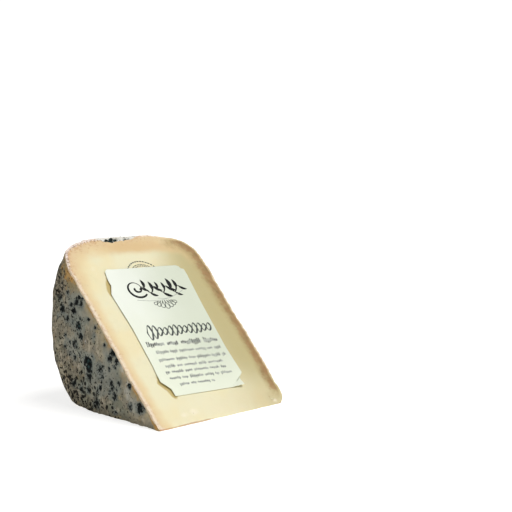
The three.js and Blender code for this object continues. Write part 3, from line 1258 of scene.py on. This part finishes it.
        # painted sheen in pale spots near the foot of the cut
        painted_light = sum(cone(np.hypot((across - x) / 1.3, reach - y), size) for x, y, size in self.sheen_spots)
        return {
            "tan": (1 - distance / band) * (1 - corner) * (1 - 0.6 * right) * (0.88 + 0.12 * high),
            "amber": amber + low,
            "painted_right_shade": painted_right_shade * (0.55 + 0.45 * smooth_step(8, 42, reach)),
            "brown": smooth_step(10 + 6 * high, 45, across) * smooth_step(-4, 16, reach) * brown,
            # painted shadow beside the label's left edge
            "label_shadow": self.label_shadow(across, reach),
            "painted_sheen": painted_light - 0.3,
            "lip": 1 - distance / lip - corner,
            "crust": (1 - distance / crust) * upper_left - 2 * (1 - upper_left),
            "tip_line": smooth_step(2.2, 0.6, reach) * smooth_step(-2, -14, across) - 0.2,
        }

    def label_shadow(self, across: Array, reach: Array) -> Array:
        """Painted shadow, golden, along the label's left edge, widest where the paper stands off at two
        places.

        Args:
            across, reach: flat places.

        Returns:
            Strengths from 0 to 1.
        """
        wide = self.shadow_width
        for up, size, more in self.shadow_spots:
            wide = wide + more * hill(reach - up, size)
        there = smooth_step(15, 19, reach) * smooth_step(112, 107, reach)
        beside = smooth_step(wide, 0.2 * wide, np.abs(across - across_at(LabelSheet.left_edge, reach)))
        return there * beside * np.minimum(1, 0.2 + 0.35 * (wide - self.shadow_width))

    def rind_fields(self, points: Array, crest: Array) -> dict[str, Array]:
        """What the rind's colours follow, from 0 to 1 at each point.

        Bloom is the white mould of top and rim, thin_rind the orange-brown patches beside the upper cut,
        foot a darkening of the rind towards the table, and beside the lighter strip under the upper cut.

        Args:
            points: places, shaped (n, 3).
            crest: how fully the rind has rolled over the cut there.

        Returns:
            The fields by name.
        """
        across, back, up = points.T
        below = -(points @ self.cut_normal(True))
        reach = np.hypot(back, up)
        on_left = across < -40
        rim = smooth_step(42, 26, np.abs(across)) * smooth_step(70, 104, back)
        top = smooth_step(78, 98, up + 0.35 * np.maximum(0, back - 60)) * smooth_step(-48, -20, across)
        # crowd: more specks towards the back and at the crowded places: mould specks, partly laid in as
        # painted shade where the flank turns from the light
        thin, pale, crowd = 0, 0, 0.8 + 0.2 * smooth_step(50, 90, back)
        for middle, width in self.thin_places:
            thin = thin + smooth_step(width, 0, below) * hill(reach - middle, 4 + width / 2)
        for middle, height, size in self.pale_spots:
            pale = pale + cone(np.hypot(back - middle, up - height), size)
        for middle, height, size, more in self.crowded:
            crowd = crowd + more * on_left * hill(np.hypot(back - middle, up - height), size)
        return {
            "bloom": np.maximum(np.maximum(top, 0.55 * rim), crest),
            "pale": 1.3 * pale * on_left - 0.25,
            # cut_lip: the rind's scraped edge with a painted highlight along the upper cut
            "cut_lip": smooth_step(1.1, 0.4, below) * (1 - crest) * smooth_step(3, 8, reach),
            "thin_rind": (0.8 * thin + 0.15 * smooth_step(4, 0, below)) * (1 - crest),
            "foot": smooth_step(9, 0, up) * smooth_step(6, 24, back) - 0.1,
            "beside": smooth_step(11, 1, below) * smooth_step(6, 14, reach),
            "speckle": crowd * (0.95 + self.patchy.at(points)) * (0.6 + 0.4 * smooth_step(2, 14, below)),
            "smoke": self.mould.smoke(points),
        }


# ---------------------------------------------------------------- the label


def across_at(edge: Table, up: Array) -> Array:
    """Where an edge with these corners is, across, at distances up the slope."""
    return np.interp(up, [corner[1] for corner in edge], [corner[0] for corner in edge])


@dataclass(frozen=True)
class LabelSheet:
    """A hand-trimmed paper label on the upper cut, wet and creased, its corners starting to lift.

    Attributes:
        left_edge, right_edge: flat corners of the two long edges, bottom first.
        lifts: spots where the paper stands off the cheese: across, up, reach and height.
        fold: crease across the lower right corner: a point of it, the direction square to it in
            which the corner rises, and how steeply it does.
        thickness: of the paper.
        gap: between it and the mean cut.
        cockle, waves: how high wetness has made the paper cockle, and the form of that.
        edge_curl, curl_width: how far the long left edge stands up, and the width that does so.
        rows, columns: how fine the mesh is.
    """

    left_edge: Table = (
        (-27.2, 18.6), (-27.5, 23.2), (-31.9, 28.8), (-31.0, 40.0), (-30.7, 66.0),
        (-32.4, 92.3), (-29.5, 98.6), (-29.5, 102.7), (-28.4, 109.6), (-26.6, 111.0),
    )  # fmt: skip
    right_edge: Table = (
        (22.4, 16.7), (22.6, 21.0), (23.0, 22.2), (26.8, 25.5), (26.3, 45.0), (28.2, 80.0),
        (30.2, 102.0), (29.7, 106.6), (27.9, 107.3), (27.1, 109.6), (25.2, 110.7),
    )  # fmt: skip
    lifts: Table = ((-31, 25, 13, 0.6), (-32, 97, 11, 0.6), (29.5, 107, 8, 0.7), (-27, 111, 7, 0.5))
    fold: tuple[float, float, float, float, float] = (21.5, 21.6, 0.51, -0.86, 0.3)
    thickness: float = 0.12
    gap: float = 0.24
    cockle: float = 0.07
    waves: Noise = Noise(1, 14.0, 3, 400)
    edge_curl: float = 0.12
    curl_width: float = 5.0
    rows: int = 170
    columns: int = 90

    def beyond_fold(self, flat: Array) -> Array:
        """How far flat places lie beyond the crease, towards the lower right corner."""
        across, up, over, under, _ = self.fold
        return (flat[..., 0] - across) * over + (flat[..., 1] - up) * under

    def height(self, flat: Array) -> Array:
        """Height of the paper's underside over the mean cut.

        The sum of the gap, a cockle of noise, the curl of the left edge, one bump
        (1 - distance/reach)^2 for each lifted spot, and the slope beyond the crease.

        Args:
            flat: flat places, shaped (..., 2).

        Returns:
            Heights, one for each place.
        """
        space = np.concatenate([flat, np.zeros((*flat.shape[:-1], 1))], axis=-1)
        height = self.gap + self.cockle * (1 + self.waves.at(space))
        inward = flat[..., 0] - across_at(self.left_edge, flat[..., 1])
        height = height + self.edge_curl * smooth_step(self.curl_width, 0, inward)
        for across, up, reach, lift in self.lifts:
            height = height + lift * cone(np.hypot(flat[..., 0] - across, flat[..., 1] - up), reach) ** 2
        return height + self.fold[-1] * np.maximum(0, self.beyond_fold(flat))

    def top(self, flat: Array) -> Array:
        """Height of the paper's upper side over the mean cut."""
        return self.height(flat) + self.thickness

    def build(self) -> None:
        """Builds the sheet straight across from long edge to long edge, and dresses it."""
        edges = []
        for edge in (self.left_edge, self.right_edge):
            up = np.linspace(edge[0][1], edge[-1][1], self.rows)
            edges.append(np.stack([across_at(edge, up), up], axis=-1)[:, None])
        share = clustered(self.columns, 0.5)[:, None]
        flat = edges[0] * (1 - share) + edges[1] * share
        skin = Skin()
        skin.add_shell(*(in_space(flat, height=height(flat)) for height in (self.top, self.height)))
        across, back, _ = np.concatenate(skin.points).T
        # painted shade along the crease
        crease = hill(self.beyond_fold(flat), 0.5) * smooth_step(17, 21, flat[..., 0])
        fields = {
            # painted shade on the paper, growing towards the right
            "painted_light": smooth_step(-40, 24, across) * (0.3 + 0.7 * smooth_step(10, 34, back)),
            "low": smooth_step(80, 12, back),
            "crease": np.pad(crease.ravel(), (0, skin.count - crease.size)),
        }
        piece = skin.build("paper_sheet", [PaperFinish().material()], fields)
        dress(piece, "paper_label")


class Ink(Enum):
    """The inks on the label and on the cheese, in the order of their material slots."""

    BLACK = InkFinish("Black", "#0b0c0c", "#2c2f2e")
    GREY = InkFinish("Dark grey", "#4b504b", "#6b706a")
    PALE = InkFinish("Pale grey", "#b4b8ae", "#cdd0c6")


@dataclass(frozen=True)
class Stroke:
    """One printed stroke: a line with a width.

    Attributes:
        path: flat places, shaped (n, 2).
        width: mm, one value or one for each place.
        ink: what it is printed in.
    """

    path: Array
    width: Array | float
    ink: Ink

    def outline(self, finest: float = 0.06) -> Array:
        """The stroke's two edges, half its width to the left and right of its path.

        Args:
            finest: the least width.

        Returns:
            Flat places, shaped (n, 2, 2).
        """
        along = np.gradient(self.path, axis=0)
        along /= np.maximum(np.linalg.norm(along, axis=1, keepdims=True), 1e-9)
        half = np.reshape(np.maximum(self.width, finest) / 2, (-1, 1))
        left = np.column_stack([-along[:, 1], along[:, 0]]) * half
        return np.stack([self.path + left, self.path - left], axis=1)


def print_strokes(name: str, strokes: list[Stroke], height: Callable[[Array], Array]) -> None:
    """Prints strokes as closed ribbons that stand a few hundredths of a millimetre proud.

    Args:
        name: the piece's name.
        strokes: what to print.
        height: gives the printed surface's height over flat places of the mean cut.
    """
    skin, inks = Skin(), list(Ink)
    for stroke in strokes:
        flat = stroke.outline()
        surface = height(flat)
        sides = (in_space(flat, height=surface + more) for more in (INK_PROUD, -INK_SUNK))
        skin.add_shell(*sides, inks.index(stroke.ink))
    dress(skin.build(name, [ink.value.material() for ink in inks]))


@dataclass(frozen=True)
class LabelPrint:
    """Generic print: a leafy flourish, two rules, a fan of petals, a rope band, and lines of bars.

    Attributes:
        sheet: the paper it is on.
        stem, stem_wave, stem_bends, stem_fall: the flourish's stem: its start across, length and place
            up the slope; how high and how often it waves; and how far it falls.
        curl: middle and radius of its large curl.
        leaf_count, shortest_leaf, leaf_spread: how many leaves, and their lengths.
        long_leaf, extra_leaf: which of them is longer, and by how much.
        rules_up, rule_ends: place of the rules up the slope; each one's drop below it, and its ends.
        rule_rise, rule_sag, rule_length: rise for each mm to the right, and sag of one of this length.
        petal_count, petal_length, petal_foot: how many petals, the longest, and where it hangs.
        rope_band, rope_wave, rope_turns: the band's start, length and place; how high and how often it
            waves.
        slant: how far each printed line falls for each mm to the right.
        tick_spacing: how far apart the ticks across the bars are.
        tick_width, bar_width, bar_gap: as shares of the line's height.
        shortest_bar, bar_spread: lengths of the bars, before the line's height stretches them.
        main_line: where the tallest line starts, where it ends and its place up the slope.
        lines: the same of the small lines.
        main_height, line_height: how tall the two kinds are.
    """

    sheet: LabelSheet = LabelSheet()
    stem: tuple[float, float, float] = (-11.0, 31.0, 93.5)
    stem_wave: float = 2.4
    stem_bends: int = 7
    stem_fall: float = 1.5
    curl: tuple[float, float, float] = (-13.2, 94.8, 7.2)
    leaf_count: int = 13
    shortest_leaf: float = 5.2
    leaf_spread: float = 2.4
    long_leaf: int = 9
    extra_leaf: float = 2.2
    rules_up: float = 88.2
    rule_ends: Table = ((0.0, -17.0, 19.5), (1.7, -2.0, 14.0))
    rule_rise: float = 0.11
    rule_sag: float = 3.6
    rule_length: float = 36.5
    petal_count: int = 7
    petal_length: float = 6.4
    petal_foot: tuple[float, float] = (1.9, 84.2)
    rope_band: tuple[float, float, float] = (-22.5, 47.0, 61.6)
    rope_wave: float = 3.1
    rope_turns: float = 6.5
    slant: float = 0.062
    tick_spacing: float = 1.3
    tick_width: float = 0.17
    bar_width: float = 0.56
    bar_gap: float = 0.55
    shortest_bar: float = 2.2
    bar_spread: float = 6.5
    main_line: tuple[float, float, float] = (-27.5, 24.0, 52.4)
    lines: Table = (
        (-24, 22.5, 46.7), (-25, 23.5, 41.4), (-23, 19.6, 36.8),
        (-25, 20.4, 32.8), (-24.5, 22, 28.6), (-20, 4.5, 24.2),
    )  # fmt: skip
    main_height: float = 3.8
    line_height: float = 2.4

    def leaf(self, foot: Array, turn: float, length: float) -> Stroke:
        """A pointed leaf: a slightly bent line whose width is the sine of the share of its length.

        Args:
            foot: where it starts.
            turn: its direction, in radians from "to the right".
            length: mm.

        Returns:
            The stroke.
        """
        share = np.linspace(0, 1, 12)
        bend = turn + 0.5 * (share - 0.5)
        path = foot + length * share[:, None] * np.column_stack([np.cos(bend), np.sin(bend)])
        return Stroke(path, 0.34 * length * np.sin(np.pi * share) ** 0.8, Ink.BLACK)

    def flourish(self) -> list[Stroke]:
        """A sine-shaped stem with leaves on both sides, and the large curl that it starts in.

        Returns:
            The strokes.
        """
        start, span, level = self.stem
        share = np.linspace(0, 1, 90)
        bends = self.stem_bends * np.pi * share
        rise = level + self.stem_wave * np.sin(bends) - self.stem_fall * share
        stem = np.column_stack([start + span * share, rise])
        strokes = [Stroke(stem, 0.55 + 0.45 * np.cos(bends) ** 2, Ink.BLACK)]
        across, up, radius = self.curl
        turn = np.linspace(0.1, 1.55, 60) * 2 * np.pi
        size = radius * (turn / turn[-1]) ** 0.8
        curl = np.column_stack([across + size * np.cos(turn + 2.1), up + size * np.sin(turn + 2.1)])
        strokes.append(Stroke(curl, 0.5 + 1.1 * np.abs(np.sin(turn / 2 + 0.6)) ** 2, Ink.BLACK))
        for i, place in enumerate(np.linspace(4, 84, self.leaf_count).astype(int)):
            side = 1 if i % 2 else -1
            length = self.shortest_leaf + self.leaf_spread * ((i * GOLDEN_SHARE) % 1)
            length += self.extra_leaf * (i == self.long_leaf)
            strokes.append(self.leaf(stem[place], 0.25 + side * 1.05, length))
        return strokes

    def rules(self) -> list[Stroke]:
        """Two thin rules under the flourish that sag by half a sine.

        Returns:
            The strokes.
        """
        share = np.linspace(0, 1, 40)
        rules = []
        for drop, start, end in self.rule_ends:
            across = start + (end - start) * share
            sag = self.rule_sag * np.sin(np.pi * share) * (end - start) / self.rule_length
            up = self.rules_up - drop + self.rule_rise * across - sag
            rules.append(Stroke(np.column_stack([across, up]), 0.32, Ink.PALE))
        return rules

    def rosette(self) -> list[Stroke]:
        """A small fan that hangs under the rules: petals, each a loop in polar coordinates.

        Returns:
            The strokes.
        """
        strokes = []
        share = np.linspace(0, 1, 24)
        across, up = self.petal_foot
        middle = (self.petal_count - 1) / 2
        for i, turn in enumerate(np.linspace(0.16, 0.84, self.petal_count) * np.pi):
            off = i - middle
            out = (self.petal_length - 2.0 * abs(off) / middle) * np.sin(np.pi * share)
            swing = 0.30 * np.sin(2 * np.pi * share)
            foot = np.array([across - 1.5 * off, up - 0.06 * abs(off)])
            path = foot + out[:, None] * np.column_stack([np.cos(turn + swing), -np.sin(turn + swing)])
            strokes.append(Stroke(path, 0.42, Ink.GREY))
        return strokes

    def rope(self) -> list[Stroke]:
        """A band of two crossing sine waves, with a taller loop at its left end.

        Returns:
            The strokes.
        """
        start, span, up = self.rope_band
        share = np.linspace(0, 1, 200)
        across = start + span * share
        tall = self.rope_wave + 1.6 * hill(share - 0.05, 0.09) + 0.7 * np.sin(19 * share)
        strokes = []
        for phase in (0.0, np.pi):
            turn = 2 * np.pi * self.rope_turns * share + phase
            path = np.column_stack([across + 0.8 * np.sin(turn), up - 0.03 * across + tall * np.sin(turn)])
            strokes.append(Stroke(path, 0.45 + 0.75 * np.cos(turn + 0.7) ** 2, Ink.GREY))
        return strokes

    def words(self, left: float, right: float, up: float, height: float, ink: Ink) -> list[Stroke]:
        """A line of short pale bars, as long and as far apart as words, crossed by upright ticks.

        Args:
            left, right: where the line starts and ends.
            up: its place up the slope in the middle of the label.
            height: how tall it is.
            ink: the ink of the ticks.

        Returns:
            One stroke for each bar and for each tick.
        """
        strokes, across, order = [], left, round(up)
        while across < right - 1:
            order += 1
            length = self.shortest_bar + self.bar_spread * ((order * GOLDEN_SHARE) % 1)
            length = min(length * (0.6 + height / 3.5), right - across)
            along = across + length * np.linspace(0, 1, 8)
            weight = self.bar_width * height * (0.82 + 0.18 * np.cos(np.arange(8) * 2.4 + order))
            strokes.append(Stroke(np.column_stack([along, up - self.slant * along]), weight, Ink.PALE))
            for tick in np.arange(across + 0.5, across + length, self.tick_spacing):
                end = height * np.array([0.06, 0.33 + 0.17 * math.cos(5.1 * tick)])
                middle = np.array([tick, up - self.slant * tick + 0.16 * height * math.cos(3.7 * tick)])
                strokes.append(Stroke(np.stack([middle - end, middle + end]), self.tick_width * height, ink))
            across += length + self.bar_gap * height
        return strokes

    def build(self) -> None:
        """Prints everything on the label."""
        strokes = self.flourish() + self.rules() + self.rosette() + self.rope()
        strokes += self.words(*self.main_line, self.main_height, Ink.BLACK)
        for line in self.lines:
            strokes += self.words(*line, self.line_height, Ink.GREY)
        print_strokes("label_print", strokes, self.sheet.top)


@dataclass(frozen=True)
class InkStamp:
    """A round ink stamp on the cheese, half hidden by the label: three dashed rings.

    Attributes:
        body: the cheese that it is on.
        middle: its centre, a flat place.
        start, end: the angles between which it shows above the label, in radians.
        rings: radius, share left blank, width and spacing of each ring's dashes.
    """

    body: CheeseBody = CheeseBody()
    middle: tuple[float, float] = (-0.6, 103.8)
    start: float = 0.62
    end: float = 2.52
    rings: Table = ((12.4, 0.3, 0.8, 1.9), (9.9, 0.15, 0.45, 2.4), (8.7, 0.5, 0.9, 1.3))

    def build(self) -> None:
        """Prints the part of the stamp above the label, each dash an arc."""
        strokes = []
        for radius, blank, width, spacing in self.rings:
            step = spacing / radius
            for start in np.arange(self.start, self.end, step):
                turn = np.linspace(start, start + step * (1 - blank), 9)
                path = np.array(self.middle) + radius * np.column_stack([np.cos(turn), np.sin(turn)])
                strokes.append(Stroke(path, width, Ink.GREY))
        print_strokes("ink_stamp", strokes, self.body.cut_height)


@dataclass(frozen=True)
class Crumbs:
    """Small crumbs of paste left sticking to the cut beside its lower corners.

    Attributes:
        places: across, up the slope, and width of each.
        rows, columns: how fine each one is.
        lumps: how uneven they are.
    """

    places: Table = ((37.2, 4.2, 0.9), (38.6, 3.4, 0.6), (-21.4, 6.4, 0.8))
    rows: int = 12
    columns: int = 18
    lumps: Noise = Noise(0.45, 0.9, 3, 500)

    def build(self) -> None:
        """Builds each crumb as a flattened ball, uneven by noise and partly sunk into the cheese."""
        polar = np.linspace(0, np.pi, self.rows)[:, None]
        ball = revolve(np.sin(polar), np.cos(polar), self.columns)
        skin = Skin()
        for i, (across, up, width) in enumerate(self.places):
            lump = ball * (1 + self.lumps.at(ball + 7.0 * i))[..., None] * width / 2
            flat = lump[..., :2] * [1, 0.8] + [across, up]
            skin.add_grid(in_space(flat, height=lump[..., 2] * 0.55 + width * 0.1), flip=True)
        dress(skin.build("paste_crumbs", [PasteFinish().material()]))


# ---------------------------------------------------------------- the studio


@dataclass(frozen=True)
class Studio:
    """Pale floor, one large soft light from the front right, and light from all round.

    Attributes:
        floor_radius, floor_middle: m, of the floor and of the smallest of its rings.
        floor_rings, floor_columns: how fine its mesh is.
        floor_drop: mm that it lies below the object.
        key_direction: from the object to the key light.
        key_strength, key_softness: W/m2, and the angle that it fills, in degrees.
        surround, backdrop: strength of the light from all round, and as the camera sees it.
        camera_place: mm from the tip edge.
        camera_turn, camera_dip: radians to the right of straight back, and below level.
        lens, film: focal length, and width of the film that it fills.
    """

    floor_radius: float = 6.0
    floor_middle: float = 0.05
    floor_rings: int = 24
    floor_columns: int = 97
    floor_drop: float = 0.02
    key_direction: tuple[float, float, float] = (0.36, -0.36, 0.86)
    key_strength: float = 2.66
    key_softness: float = 46.0
    surround: float = 0.15
    backdrop: float = 1.1
    camera_place: tuple[float, float, float] = (-327.4, -364.7, 126.9)
    camera_turn: float = 0.7633
    camera_dip: float = 0.0759
    lens: float = 62.65
    film: float = 36.0

    def build_floor(self) -> None:
        """Builds the floor, a disc of rings that grow by a constant factor."""
        rings = np.geomspace(self.floor_middle, self.floor_radius, self.floor_rings)
        size = np.concatenate([[0], rings])[:, None] / MM
        skin = Skin()
        skin.add_grid(revolve(size, -self.floor_drop, self.floor_columns))
        skin.build("studio_floor", [FloorFinish().material()])

    def build_lights(self) -> None:
        """Builds the key light and the light from all round."""
        data = bpy.data.lights.new("key_light", "SUN")
        data.energy = self.key_strength
        data.angle = math.radians(self.key_softness)
        key = bpy.data.objects.new("key_light", data)
        key.rotation_mode = "QUATERNION"
        key.rotation_quaternion = Vector(self.key_direction).to_track_quat("Z", "Y")
        bpy.context.scene.collection.objects.link(key)
        nodes = Nodes(bpy.data.worlds.new("surround"))
        strengths = (self.surround, self.backdrop)
        light, seen = (nodes.add("Background", {0: (1, 1, 1, 1), 1: value}) for value in strengths)
        rays = nodes.add("LightPath", output="Is Camera Ray")
        nodes.add("OutputWorld", {0: nodes.add("MixShader", {0: rays, 1: light, 2: seen})})
        bpy.context.scene.world = nodes.owner
        bpy.context.scene.view_settings.view_transform = "Standard"

    def build_camera(self) -> None:
        """Builds the camera and looks through it."""
        data = bpy.data.cameras.new("camera")
        data.lens, data.sensor_width = self.lens, self.film
        data.clip_start, data.clip_end = 0.01, 20
        camera = bpy.data.objects.new("camera", data)
        across, back, up = self.camera_place
        camera.location = (across * MM, (back + TIP_EDGE) * MM, up * MM)
        camera.rotation_euler = (math.pi / 2 - self.camera_dip, 0, -self.camera_turn)
        bpy.context.scene.collection.objects.link(camera)
        bpy.context.scene.camera = camera


def main() -> None:
    """Builds the cheese, its label and the studio, in that order."""
    logging.basicConfig(level=logging.INFO, format="%(name)s %(message)s")
    body, sheet = CheeseBody(), LabelSheet()
    body.build()
    sheet.build()
    LabelPrint(sheet).build()
    InkStamp(body).build()
    Crumbs().build()
    studio = Studio()
    studio.build_floor()
    studio.build_lights()
    studio.build_camera()


if __name__ == "__main__":
    main()
